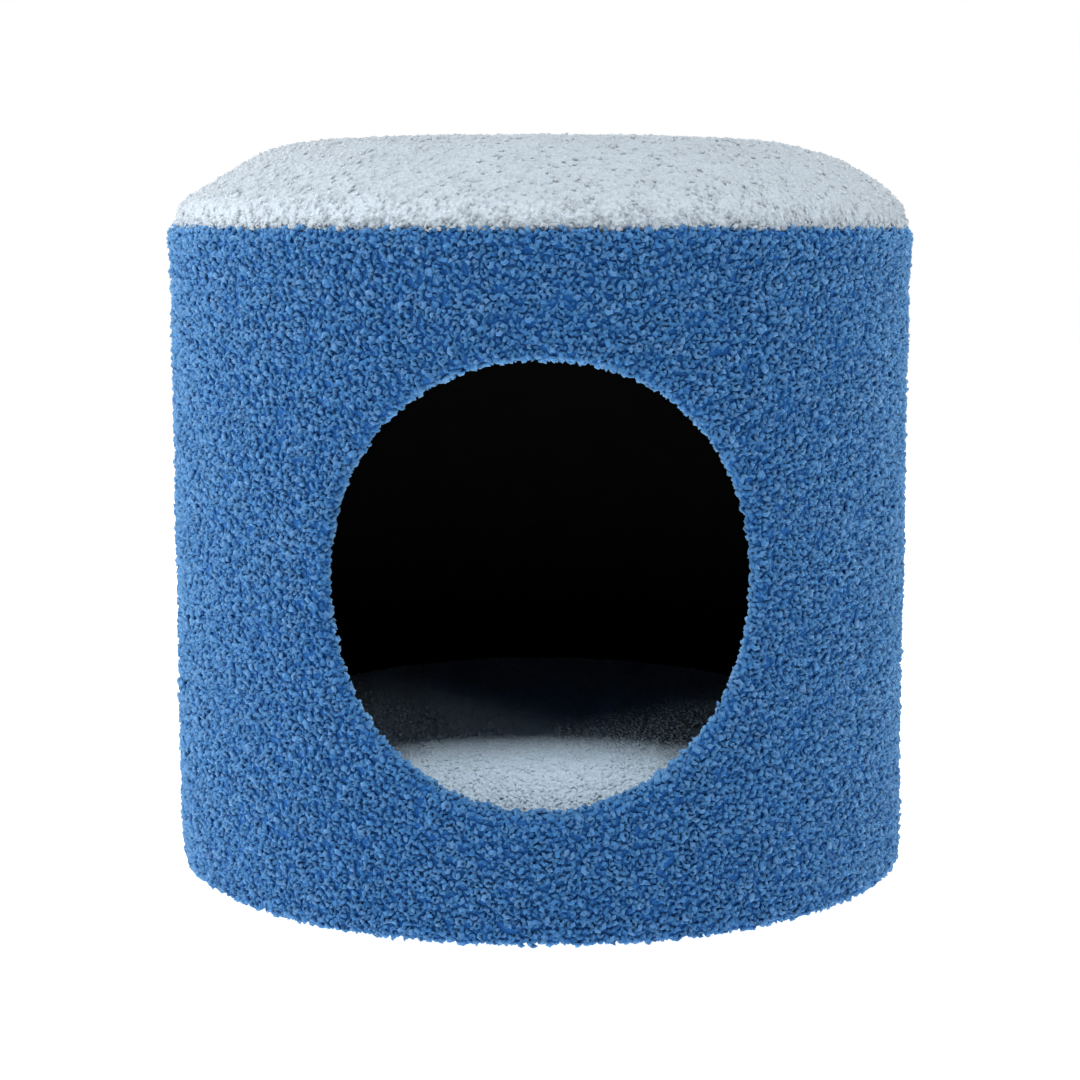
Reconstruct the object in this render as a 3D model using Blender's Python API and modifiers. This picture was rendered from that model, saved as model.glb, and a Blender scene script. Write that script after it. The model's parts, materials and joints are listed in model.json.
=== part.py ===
"""Round cat house: an upholstered drum with a round door, a padded lift-off lid and a loose cushion.

Metres, +Z up. The origin is on the floor at the middle of the drum, and the door faces -Y.
"""
import bmesh
import bpy
from math import asin, cos, pi, radians, sin
from mathutils import Matrix, Vector

# Whole drum
drum_radius = 0.200
drum_height = 0.3425
facets = 48
fit_gap = 0.0003

# Cloth, foam and felt
cover_thickness = 0.0045
turned_cloth_thickness = 0.003
door_turn_thickness = 0.0015
wall_foam_thickness = 0.003
felt_thickness = 0.0015
edge_rounding = 0.004
turn_rounding_share = 0.6

# Wall board and its stiffening hoop
wall_board_thickness = 0.004
joint_slit = 0.001
joint_strip_width = 0.040
hoop_thickness = 0.004
hoop_height = 0.022

# Door: a circle on the flat wall before it is rolled
door_radius = 0.1085
door_centre_height = 0.173
door_turn_width = 0.025
door_felt_setback = 0.007
door_facets = 40

# Base
base_board_thickness = 0.012
under_turn_width = 0.035
dust_cover_thickness = 0.0012
base_screw_count = 6

# Feet
foot_height = 0.0055
foot_radius = 0.014
foot_taper = 0.002
foot_inset = 0.055
foot_count = 4
foot_recess = 0.002

# Lid
lid_height = 0.0512
lid_side_height = 0.008
lid_board_thickness = 0.009
locating_disc_thickness = 0.012
locating_clearance = 0.002
lid_screw_count = 6
lid_screw_inset = 0.038

# Cushion
cushion_clearance = 0.006
cushion_cloth_thickness = 0.004
cushion_seam_height = 0.025
cushion_crown_height = 0.046
cushion_flat_share = 0.86

# Wood screws
screw_length = 0.018
foot_screw_length = 0.013
screw_shank_radius = 0.0017
screw_head_radius = 0.0035
screw_head_height = 0.0022
screw_tip_radius = 0.0007
screw_sink = 0.0005

# Wall layers, from the outside in
cover_inside = drum_radius - cover_thickness
foam_outside = cover_inside - fit_gap
foam_inside = foam_outside - wall_foam_thickness
board_outside = foam_inside - fit_gap
board_inside = board_outside - wall_board_thickness
behind_board = board_inside - fit_gap
hoop_inside = behind_board - hoop_thickness
mouth_outside = hoop_inside - fit_gap
mouth_radius = mouth_outside - turned_cloth_thickness
door_turn_inside = behind_board - door_turn_thickness
felt_outside = door_turn_inside - fit_gap
felt_inside = felt_outside - felt_thickness

# Levels, from the floor up
dust_cover_bottom = foot_height + fit_gap
base_board_bottom = dust_cover_bottom + dust_cover_thickness + fit_gap
base_board_top = base_board_bottom + base_board_thickness
drum_bottom = base_board_bottom - fit_gap - turned_cloth_thickness
drum_top = drum_bottom + drum_height
core_bottom = base_board_bottom - fit_gap
core_top = drum_top - turned_cloth_thickness
wall_board_top = core_top - fit_gap
hoop_bottom = wall_board_top - hoop_height
felt_bottom = base_board_top + fit_gap
floor_felt_top = felt_bottom + felt_thickness
door_centre = drum_bottom + door_centre_height

lid_bottom = drum_top + fit_gap
lid_board_bottom = lid_bottom + turned_cloth_thickness + fit_gap
lid_board_top = lid_board_bottom + lid_board_thickness
lid_foam_bottom = lid_board_top + fit_gap
locating_disc_top = lid_board_bottom - fit_gap
locating_disc_bottom = locating_disc_top - locating_disc_thickness
locating_disc_radius = mouth_radius - locating_clearance

cushion_bottom = floor_felt_top + fit_gap
cushion_seam = cushion_bottom + cushion_seam_height
cushion_radius = felt_inside - cushion_clearance

# Shape of the two crowns: side steepness and top roundness
lid_side_power = 0.5
lid_top_power = 1.4
cushion_side_power = 0.4
cushion_top_power = 1.0
crown_steps = 6


def empty_scene():
    for old in list(bpy.data.objects):
        bpy.data.objects.remove(old, do_unlink=True)


def new_collection(name):
    collection = bpy.data.collections.new(name)
    bpy.context.scene.collection.children.link(collection)
    return collection


empty_scene()
pieces = new_collection("cat_house")
cutters = new_collection("cutters")


def finish(name, colour, roughness, metallic=0.0):
    material = bpy.data.materials.new(name)
    material.use_nodes = True
    shader = material.node_tree.nodes["Principled BSDF"]
    shader.inputs["Base Color"].default_value = (*colour, 1.0)
    shader.inputs["Roughness"].default_value = roughness
    shader.inputs["Metallic"].default_value = metallic
    material.diffuse_color = (*colour, 1.0)
    return material


def place(name, mesh, material=None):
    """Link an object: a piece of the house if it has a material, otherwise a cutter."""
    thing = bpy.data.objects.new(name, mesh)
    if material:
        pieces.objects.link(thing)
        mesh.materials.append(material)
    else:
        cutters.objects.link(thing)
        thing.hide_render = True
        thing.display_type = "WIRE"
    return thing


def turned(name, profile, material=None, closed=True, steps=facets):
    """Turn a profile of (radius, height) points that runs down its outer side."""
    mesh = bpy.data.meshes.new(name)
    points = [(radius, 0.0, height) for radius, height in profile]
    edges = [(i, i + 1) for i in range(len(points) - 1)]
    if closed:
        edges.append((len(points) - 1, 0))
    mesh.from_pydata(points, edges, [])
    thing = place(name, mesh, material)
    screw = thing.modifiers.new("turn", "SCREW")
    screw.angle = 2 * pi
    screw.steps = steps
    screw.render_steps = steps
    screw.use_merge_vertices = True
    screw.merge_threshold = 0.00001
    return thing


def tube(name, inside, outside, bottom, top, material=None, steps=facets):
    profile = [(inside, top), (outside, top), (outside, bottom), (inside, bottom)]
    return turned(name, profile, material, steps=steps)


def disc(name, radius, bottom, top, material=None, steps=facets):
    profile = [(0.0, top), (radius, top), (radius, bottom), (0.0, bottom)]
    return turned(name, profile, material, closed=False, steps=steps)


def boolean(thing, tool, operation):
    modifier = thing.modifiers.new(tool.name, "BOOLEAN")
    modifier.operation = operation
    modifier.object = tool


def cut(thing, tool):
    boolean(thing, tool, "DIFFERENCE")


def block(name, size, centre):
    mesh = bpy.data.meshes.new(name)
    bm = bmesh.new()
    bmesh.ops.create_cube(bm, size=1.0)
    bmesh.ops.scale(bm, vec=Vector(size), verts=bm.verts)
    bmesh.ops.translate(bm, vec=Vector(centre), verts=bm.verts)
    bm.to_mesh(mesh)
    bm.free()
    return place(name, mesh)


def door_rod(name, margin):
    """The door's opening as a rod along -Y: a circle on the flat wall, drawn in as the wall is rolled."""
    length = drum_radius + door_radius
    radius = door_radius + margin
    mesh = bpy.data.meshes.new(name)
    bm = bmesh.new()
    bmesh.ops.create_cone(
        bm, cap_ends=True, segments=door_facets, radius1=radius, radius2=radius, depth=length
    )
    bmesh.ops.rotate(bm, matrix=Matrix.Rotation(pi / 2, 3, "X"), verts=bm.verts)
    for corner in bm.verts:
        corner.co.x = drum_radius * sin(corner.co.x / drum_radius)
    bmesh.ops.translate(bm, vec=(0.0, -length / 2, door_centre), verts=bm.verts)
    bm.to_mesh(mesh)
    bm.free()
    return place(name, mesh)


def arc(centre, radius, start, end, steps=2):
    """Points of a rounded corner in (radius, height), with its angles in degrees."""
    points = []
    for i in range(steps + 1):
        angle = radians(start + (end - start) * i / steps)
        points.append((centre[0] + radius * cos(angle), centre[1] + radius * sin(angle)))
    return points


def crown(radius, base, top, side_power, top_power, start=0.0):
    """Points of a padded top, from its middle out and down to its side."""
    points = [(0.0, top)]
    for i in range(crown_steps - 1, -1, -1):
        angle = start + (pi / 2 - start) * i / crown_steps
        points.append((radius * cos(angle) ** side_power, base + (top - base) * sin(angle) ** top_power))
    return points


# Finishes
blue_boucle = finish("blue_boucle", (0.042, 0.136, 0.318), 0.95)
light_boucle = finish("light_boucle", (0.552, 0.624, 0.687), 0.95)
dark_felt = finish("dark_felt", (0.012, 0.012, 0.014), 1.0)
foam = finish("foam", (0.80, 0.74, 0.58), 0.9)
fibre_board = finish("fibre_board", (0.30, 0.19, 0.10), 0.8)
wood_board = finish("wood_board", (0.52, 0.39, 0.25), 0.75)
black_plastic = finish("black_plastic", (0.020, 0.020, 0.022), 0.5)
zinc_steel = finish("zinc_steel", (0.62, 0.62, 0.60), 0.35, 1.0)


def screw_profile(length, margin=0.0, reach=0.0):
    """A countersunk screw with its head at height 0 and its tip up; reach opens the hole below the head."""
    shank = screw_shank_radius + margin
    head = screw_head_radius + margin
    tip = length + margin
    point = screw_tip_radius + margin
    profile = [
        (0.0, tip),
        (point, tip),
        (shank, tip - screw_shank_radius),
        (shank, screw_head_height),
        (head, 0.0),
    ]
    if reach:
        profile.append((head, -reach))
    profile.append((0.0, -reach))
    return profile


def add_screw(name, length, matrix, holders, reach):
    """Put a screw in place and cut its hole in each of the pieces that it passes through."""
    screw = turned(name, screw_profile(length), zinc_steel, closed=False, steps=8)
    screw.matrix_world = matrix
    hole = turned(name + "_hole", screw_profile(length, fit_gap, reach), closed=False, steps=8)
    hole.matrix_world = matrix
    for holder in holders:
        cut(holder, hole)
    return screw


# Door shapes
door = door_rod("door_opening", 0.0)
door_in_board = door_rod("door_in_board", turned_cloth_thickness + fit_gap)
door_round_sleeve = door_rod("door_round_sleeve", turned_cloth_thickness)
door_turn_edge = door_rod("door_turn_edge", door_turn_width)
door_in_felt = door_rod("door_in_felt", door_felt_setback)


def wall_cover():
    """The blue sleeve: turned in over the rim, under the base and through the door."""
    turn_corner = turned_cloth_thickness * turn_rounding_share
    profile = (
        [(mouth_radius, hoop_bottom)]
        + arc((mouth_radius + turn_corner, drum_top - turn_corner), turn_corner, 180, 90)
        + arc((drum_radius - edge_rounding, drum_top - edge_rounding), edge_rounding, 90, 0)
        + arc((drum_radius - edge_rounding, drum_bottom + edge_rounding), edge_rounding, 0, -90)
        + [
            (drum_radius - under_turn_width, drum_bottom),
            (drum_radius - under_turn_width, core_bottom),
            (cover_inside, core_bottom),
            (cover_inside, core_top),
            (mouth_outside, core_top),
            (mouth_outside, hoop_bottom),
        ]
    )
    cover = turned("wall_cover", profile, blue_boucle)

    core_space = tube("core_space", behind_board, cover_inside, 0.0, drum_top)
    cut(core_space, door_round_sleeve)
    collar_outside = drum_radius - cover_thickness / 2
    collar = tube("door_collar", door_turn_inside, collar_outside, felt_bottom, hoop_bottom - fit_gap)
    boolean(collar, door_turn_edge, "INTERSECT")
    cut(collar, core_space)
    boolean(cover, collar, "UNION")
    cut(cover, door)
    return cover


def wall_foam():
    foam_sheet = tube("wall_foam", foam_inside, foam_outside, base_board_bottom, wall_board_top, foam)
    cut(foam_sheet, door_in_board)
    return foam_sheet


def wall_board():
    """Rolled board, butted at the back."""
    board = tube("wall_board", board_inside, board_outside, base_board_bottom, wall_board_top, fibre_board)
    cut(board, door_in_board)
    slit = block(
        "joint_slit", (joint_slit, drum_radius, 2 * drum_height), (0.0, drum_radius, drum_height / 2)
    )
    cut(board, slit)
    return board


def wall_joint_strip():
    """The strip that bridges the rolled board's butt joint, in the same layer as the door's turned cloth."""
    strip = tube(
        "wall_joint_strip", door_turn_inside, behind_board, felt_bottom, hoop_bottom - fit_gap, fibre_board
    )
    slice_of_wall = block(
        "joint_strip_slice",
        (joint_strip_width, drum_radius, 2 * drum_height),
        (0.0, drum_radius, drum_height / 2),
    )
    boolean(strip, slice_of_wall, "INTERSECT")
    return strip


def wall_lining():
    felt = tube("wall_lining", felt_inside, felt_outside, felt_bottom, hoop_bottom - fit_gap, dark_felt)
    cut(felt, door_in_felt)
    return felt


def foot_profile():
    return [
        (0.0, foot_height),
        (foot_radius, foot_height),
        (foot_radius, foot_taper),
        (foot_radius - foot_taper, 0.0),
        (0.0, 0.0),
    ]


def around(count, radius, start):
    """Places round the drum's axis, as angle and (x, y)."""
    for i in range(count):
        angle = start + 2 * pi * i / count
        yield i + 1, angle, (radius * cos(angle), radius * sin(angle))


def build_drum():
    wall_cover()
    wall_foam()
    board = wall_board()
    wall_joint_strip()
    wall_lining()
    tube("rim_hoop", hoop_inside, behind_board, hoop_bottom, wall_board_top, wood_board)
    base = disc("base_board", behind_board, base_board_bottom, base_board_top, wood_board)
    disc("floor_lining", felt_inside - fit_gap, felt_bottom, floor_felt_top, dark_felt)
    dust = disc(
        "base_dust_cover",
        drum_radius - under_turn_width - fit_gap,
        dust_cover_bottom,
        dust_cover_bottom + dust_cover_thickness,
        dark_felt,
    )

    for number, angle, (x, y) in around(foot_count, drum_radius - foot_inset, pi / 4):
        foot = turned(f"foot_{number}", foot_profile(), black_plastic, closed=False, steps=16)
        foot.location = (x, y, 0.0)
        upright = Matrix.Translation((x, y, foot_recess))
        add_screw(f"foot_screw_{number}", foot_screw_length, upright, [foot, dust, base], foot_height)

    screw_level = (base_board_bottom + base_board_top) / 2
    screw_start = board_outside - screw_sink
    for number, angle, (x, y) in around(base_screw_count, screw_start, 0.0):
        inwards = Matrix.Rotation(angle, 4, "Z") @ Matrix.Rotation(-pi / 2, 4, "Y")
        sideways = Matrix.Translation((x, y, screw_level)) @ inwards
        add_screw(f"base_screw_{number}", screw_length, sideways, [board, base], wall_foam_thickness / 2)


def lid_inner_crown(margin):
    """The pad's crown inside the cover, from its middle out to the lid board's top."""
    base = lid_bottom + lid_side_height
    top = lid_bottom + lid_height - cover_thickness - margin
    share = max(0.0, (lid_board_top - base) / (top - base))
    start = asin(min(1.0, share) ** (1.0 / lid_top_power))
    return crown(drum_radius - cover_thickness - margin, base, top, lid_side_power, lid_top_power, start)


def lid_cover():
    """The light cloth over the pad, turned in under the lid board as far as the locating disc."""
    under_corner = turned_cloth_thickness * turn_rounding_share
    inner = lid_inner_crown(0.0)
    inner_side = inner[-1][0]
    profile = (
        crown(
            drum_radius,
            lid_bottom + lid_side_height,
            lid_bottom + lid_height,
            lid_side_power,
            lid_top_power,
        )
        + arc((drum_radius - under_corner, lid_bottom + under_corner), under_corner, 0, -90)
        + [
            (locating_disc_radius + fit_gap, lid_bottom),
            (locating_disc_radius + fit_gap, lid_bottom + turned_cloth_thickness),
            (inner_side, lid_bottom + turned_cloth_thickness),
        ]
        + inner[::-1]
    )
    return turned("lid_cover", profile, light_boucle, closed=False)


def build_lid():
    lid_cover()
    pad_crown = lid_inner_crown(fit_gap)
    board_radius = pad_crown[-1][0]
    pad = [point for point in pad_crown if point[1] > lid_foam_bottom]
    pad += [(board_radius, lid_foam_bottom), (0.0, lid_foam_bottom)]
    turned("lid_foam", pad, foam, closed=False)
    board = disc("lid_board", board_radius, lid_board_bottom, lid_board_top, wood_board)
    locating = disc(
        "lid_locating_disc", locating_disc_radius, locating_disc_bottom, locating_disc_top, wood_board
    )
    felt_top = locating_disc_bottom - fit_gap
    disc("lid_lining", locating_disc_radius, felt_top - felt_thickness, felt_top, dark_felt)
    for number, angle, (x, y) in around(lid_screw_count, locating_disc_radius - lid_screw_inset, pi / 2):
        upright = Matrix.Translation((x, y, locating_disc_bottom + screw_sink))
        add_screw(f"lid_screw_{number}", screw_length, upright, [locating, board], felt_thickness)


def cushion_top(margin):
    top = cushion_seam + cushion_crown_height - margin
    return crown(
        cushion_radius - margin, cushion_seam, top, cushion_side_power, cushion_top_power
    )


def cushion_underside(margin):
    """The cushion's lower side, from its seam in to its flat middle."""
    flat = (cushion_radius - margin) * cushion_flat_share
    side = cushion_radius - margin - flat
    depth = cushion_seam_height - margin
    points = []
    for i in range(4):
        angle = pi / 2 * i / 3
        points.append((flat + side * cos(angle), cushion_seam - depth * sin(angle)))
    points.append((0.0, cushion_seam - depth))
    return points


def build_cushion():
    half_gap = fit_gap / 2
    inner_margin = cushion_cloth_thickness
    filling_margin = inner_margin + fit_gap
    raised = [(r, z + half_gap) for r, z in cushion_top(0.0)]
    raised_inner = [(r, z + half_gap) for r, z in cushion_top(inner_margin)]
    turned("cushion_top_cover", raised + raised_inner[::-1], light_boucle, closed=False)
    lowered = [(r, max(z, cushion_bottom)) for r, z in cushion_underside(0.0)]
    lowered[0] = (cushion_radius, cushion_seam - half_gap)
    lowered_inner = cushion_underside(inner_margin)
    lowered_inner[0] = (lowered_inner[0][0], cushion_seam - half_gap)
    turned("cushion_bottom_cover", lowered_inner[::-1] + lowered, light_boucle, closed=False)
    filling = cushion_top(filling_margin) + cushion_underside(filling_margin)[1:]
    turned("cushion_filling", filling, foam, closed=False)


def settle_shapes():
    """Turn each piece's modifiers into its mesh and shade its round faces smooth."""
    depsgraph = bpy.context.evaluated_depsgraph_get()
    shaped = {}
    for piece in pieces.objects:
        shaped[piece] = bpy.data.meshes.new_from_object(piece.evaluated_get(depsgraph))
    for piece, mesh in shaped.items():
        piece.modifiers.clear()
        piece.data = mesh
        mesh.shade_smooth()
        mesh.set_sharp_from_angle(angle=radians(35))


build_drum()
build_lid()
build_cushion()
settle_shapes()
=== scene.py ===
import json
from math import cos, hypot, pi, radians, sin

import bmesh
import bpy
from mathutils import Matrix, Vector

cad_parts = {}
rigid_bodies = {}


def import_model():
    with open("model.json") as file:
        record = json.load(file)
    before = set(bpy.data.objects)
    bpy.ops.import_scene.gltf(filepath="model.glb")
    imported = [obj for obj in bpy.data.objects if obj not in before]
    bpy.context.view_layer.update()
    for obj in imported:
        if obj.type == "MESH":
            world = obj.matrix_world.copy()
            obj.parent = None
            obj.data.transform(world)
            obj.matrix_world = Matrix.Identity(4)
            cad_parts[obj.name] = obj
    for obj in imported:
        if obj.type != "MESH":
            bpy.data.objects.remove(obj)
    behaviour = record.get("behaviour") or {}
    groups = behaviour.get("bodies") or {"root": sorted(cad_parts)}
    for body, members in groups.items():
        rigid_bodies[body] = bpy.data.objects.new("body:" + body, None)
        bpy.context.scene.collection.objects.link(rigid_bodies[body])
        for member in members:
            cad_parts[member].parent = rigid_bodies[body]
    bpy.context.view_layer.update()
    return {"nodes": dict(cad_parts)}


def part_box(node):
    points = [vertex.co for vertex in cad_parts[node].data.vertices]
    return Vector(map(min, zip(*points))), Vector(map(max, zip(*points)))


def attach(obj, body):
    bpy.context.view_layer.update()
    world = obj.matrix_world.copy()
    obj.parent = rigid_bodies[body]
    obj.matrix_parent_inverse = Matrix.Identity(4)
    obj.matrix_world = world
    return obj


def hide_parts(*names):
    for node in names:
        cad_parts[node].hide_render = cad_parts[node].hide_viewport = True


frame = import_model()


# Camera: level with the seam of the lid, square to the door and tipped a little down.
bpy.ops.object.select_all(action="DESELECT")
bpy.ops.object.camera_add(location=(0.0, -1.3366, 0.3501), rotation=(radians(82.562), 0.0, 0.0))
camera = bpy.context.object
camera.data.sensor_width = 36.0
camera.data.lens = 81.11
bpy.context.scene.camera = camera


# Studio: a white table top that glows so that it stays white under the house, a white surround
# that only the camera sees, and large soft lights: one high in front, one at each side, two behind.
bpy.context.scene.view_settings.view_transform = "Standard"
surround = bpy.data.worlds.new("white_surround")
bpy.context.scene.world = surround
surround.use_nodes = True
surround.node_tree.nodes["Background"].inputs["Color"].default_value = (1.0, 1.0, 1.0, 1.0)
surround.cycles_visibility.diffuse = False
surround.cycles_visibility.glossy = False

bpy.ops.mesh.primitive_circle_add(vertices=96, radius=6.0, fill_type="NGON")
floor = bpy.context.object
floor.name = "table_top"

table_white = bpy.data.materials.new("table_white")
table_white.use_nodes = True
table_shader = table_white.node_tree.nodes["Principled BSDF"]
table_shader.inputs["Base Color"].default_value = (0.9, 0.9, 0.9, 1.0)
table_shader.inputs["Roughness"].default_value = 0.9
table_shader.inputs["Emission Color"].default_value = (1.0, 1.0, 1.0, 1.0)
table_shader.inputs["Emission Strength"].default_value = 1.0
floor.data.materials.append(table_white)


def softbox(name, place, size, power):
    """A flat rectangular light that faces the middle of the house."""
    bpy.ops.object.light_add(type="AREA", location=place)
    light = bpy.context.object
    light.name = name
    light.data.shape = "RECTANGLE"
    light.data.size, light.data.size_y = size
    light.data.energy = power
    middle_of_house = Vector((0.0, 0.0, 0.2))
    light.rotation_euler = (Vector(place) - middle_of_house).to_track_quat("Z", "Y").to_euler()


softbox("light_high_front", (0.00, -0.76, 2.00), (1.80, 0.34), 40.0)
softbox("light_left", (-1.70, -0.34, 0.42), (2.00, 0.80), 28.5)
softbox("light_right", (1.70, -0.90, 0.55), (1.70, 1.00), 9.5)
softbox("light_back_left", (-1.30, 1.70, 1.10), (1.00, 1.00), 11.0)
softbox("light_back_right", (1.30, 1.70, 1.10), (1.00, 1.00), 11.0)


# Feet: four low glides turned from black plastic, screwed up into the base board.
def pick(piece):
    """Select one piece only and make it the active one."""
    bpy.ops.object.select_all(action="DESELECT")
    piece.select_set(True)
    bpy.context.view_layer.objects.active = piece


def copied(piece, name):
    """A second piece, with a mesh of its own."""
    copy = piece.copy()
    copy.data = piece.data.copy()
    bpy.context.scene.collection.objects.link(copy)
    copy.name = copy.data.name = name
    return copy


def choose(piece, kind, test):
    """In edit mode, select the verts, edges or faces whose middle passes the test."""
    bpy.ops.mesh.select_mode(type={"verts": "VERT", "edges": "EDGE", "faces": "FACE"}[kind])
    bpy.ops.mesh.select_all(action="DESELECT")
    mesh = bmesh.from_edit_mesh(piece.data)
    for part in getattr(mesh, kind):
        middle = part.co if kind == "verts" else sum((v.co for v in part.verts), Vector()) / len(part.verts)
        part.select_set(bool(test(middle)))
    mesh.select_flush_mode()
    bmesh.update_edit_mesh(piece.data)


def spun(name, outline, steps=96):
    """Draw an outline of (radius, height) points one by one and spin it round the upright axis."""
    bpy.ops.object.select_all(action="DESELECT")
    bpy.ops.mesh.primitive_plane_add(size=0.001)
    body = bpy.context.object
    body.name = body.data.name = name
    bpy.ops.object.mode_set(mode="EDIT")
    bpy.ops.mesh.select_mode(type="VERT")
    bpy.ops.mesh.select_all(action="SELECT")
    bpy.ops.mesh.merge(type="CENTER")
    bpy.ops.transform.translate(value=(outline[0][0], 0.0, outline[0][1]))
    for start, end in zip(outline, outline[1:]):
        step = (end[0] - start[0], 0.0, end[1] - start[1])
        bpy.ops.mesh.extrude_vertices_move(TRANSFORM_OT_translate={"value": step})
    bpy.ops.mesh.select_all(action="SELECT")
    bpy.ops.mesh.spin(steps=steps, angle=2 * pi, center=(0.0, 0.0, 0.0), axis=(0.0, 0.0, 1.0))
    bpy.ops.mesh.select_all(action="SELECT")
    bpy.ops.mesh.remove_doubles(threshold=0.00002)
    bpy.ops.mesh.normals_make_consistent(inside=False)
    bpy.ops.object.mode_set(mode="OBJECT")
    bpy.ops.object.shade_smooth_by_angle(angle=radians(40))
    return body


class Wire:
    """A socket in a node tree. Sums on wires add Math nodes."""

    def __init__(self, socket):
        self.socket = socket

    def out(self, name):
        """Another output of the same node."""
        return Wire(self.socket.node.outputs[name])

    def maths(self, operation, *values):
        node = self.socket.id_data.nodes.new("ShaderNodeMath")
        node.operation = operation
        for socket, value in zip(node.inputs, values):
            feed(socket, value)
        return Wire(node.outputs[0])

    def __add__(self, other):
        return self.maths("ADD", self, other)

    __radd__ = __add__

    def __mul__(self, other):
        return self.maths("MULTIPLY", self, other)

    __rmul__ = __mul__

    def __sub__(self, other):
        return self.maths("SUBTRACT", self, other)

    def __rsub__(self, other):
        return self.maths("SUBTRACT", other, self)

    def __lt__(self, other):
        return self.maths("LESS_THAN", self, other)

    def __gt__(self, other):
        return self.maths("GREATER_THAN", self, other)


def feed(socket, value):
    """Wire a socket, or set it to a fixed value."""
    if isinstance(value, Wire):
        socket.id_data.links.new(value.socket, socket)
    else:
        socket.default_value = value


class Graph:
    """A node tree of a finish or of a scatter, to which nodes are added one by one."""

    def __init__(self, tree):
        self.tree = tree

    def node(self, kind, settings=None, sockets=None, output=0):
        made = self.tree.nodes.new(kind)
        for name, value in (settings or {}).items():
            setattr(made, name, value)
        for name, value in (sockets or {}).items():
            feed(made.inputs[name], value)
        return Wire(made.outputs[output])

    def noise(self, scale, detail=2.0, roughness=0.5, stretch=(1.0, 1.0, 1.0)):
        """Cloudy values from 0 to 1, by place on the object, with scale in lumps per metre."""
        place = self.node("ShaderNodeTexCoord", output="Object")
        placed = self.node("ShaderNodeMapping", None, {"Vector": place, "Scale": stretch})
        sockets = {"Vector": placed, "Scale": scale, "Detail": detail, "Roughness": roughness}
        return self.node("ShaderNodeTexNoise", None, sockets)

    def cells(self, scale):
        """Distance from the middle of round cells, with scale in cells per metre."""
        place = self.node("ShaderNodeTexCoord", output="Object")
        return self.node("ShaderNodeTexVoronoi", None, {"Vector": place, "Scale": scale}, "Distance")

    def attribute(self, name, output="Fac"):
        """A value or vector that the mesh itself carries."""
        return self.node("ShaderNodeAttribute", {"attribute_name": name}, output=output)

    def blend(self, share, first, second):
        """A colour between two colours."""
        return self.node("ShaderNodeMix", {"data_type": "RGBA"}, {"Factor": share, 6: first, 7: second}, 2)

    def bump(self, height, distance, strength=1.0, **normal):
        """A normal that leans with a height, over a ground normal if one is given."""
        sockets = {"Height": height, "Distance": distance, "Strength": strength, **normal}
        return self.node("ShaderNodeBump", None, sockets)


def rgb(red, green, blue):
    return (red, green, blue, 1.0)


def finish(name, draw, **fixed):
    """A material: fixed values go straight on the shader, and draw adds what varies over the surface."""
    material = bpy.data.materials.new(name)
    material.use_nodes = True
    shader = material.node_tree.nodes["Principled BSDF"]
    for socket, value in fixed.items():
        shader.inputs[socket.replace("_", " ").title().replace("Ior", "IOR")].default_value = value
    for socket, value in draw(Graph(material.node_tree)).items():
        feed(shader.inputs[socket], value)
    return material


def wear(material, *names):
    """Give CAD nodes a finish."""
    for name in names:
        slots = frame["nodes"][name].data.materials
        slots.clear()
        slots.append(material)


def moulded_plastic(graph):
    grain = graph.noise(900.0, 3.0)
    scuffs = graph.noise(140.0, 5.0, 0.7)
    return {
        "Base Color": graph.blend(scuffs, rgb(0.012, 0.012, 0.013), rgb(0.030, 0.030, 0.032)),
        "Roughness": 0.38 + scuffs * 0.25,
        "Normal": graph.bump(grain, 0.00008, 0.6),
    }


glide_plastic = finish("glide_plastic", moulded_plastic)
glide_outline = [
    (0.0042, 0.0055), (0.0132, 0.0055), (0.0139, 0.0049), (0.0140, 0.0040), (0.0138, 0.0026),
    (0.0130, 0.0010), (0.0118, 0.0002), (0.0104, 0.0), (0.0066, 0.0), (0.0060, 0.0004),
    (0.0052, 0.0012), (0.0047, 0.0016), (0.0042, 0.0019), (0.0042, 0.0055),
]
for number in range(1, 5):
    low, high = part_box(f"foot_{number}")
    middle = (low + high) / 2
    glide = spun(f"glide_{number}", glide_outline, 48)
    bpy.ops.transform.translate(value=(middle.x, middle.y, 0.0))
    bpy.ops.object.transform_apply()
    glide.data.materials.append(glide_plastic)
    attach(glide, "drum")
    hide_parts(f"foot_{number}")


# Wood screws: zinc-plated steel with a countersunk head, a cross recess and a tapering thread.
def rolled_steel(graph):
    tarnish = graph.noise(700.0, 4.0, 0.6)
    return {
        "Base Color": graph.blend(tarnish, rgb(0.50, 0.50, 0.49), rgb(0.74, 0.73, 0.70)),
        "Roughness": 0.24 + tarnish * 0.22,
    }


zinc = finish("zinc_plated_steel", rolled_steel, metallic=1.0)


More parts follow.
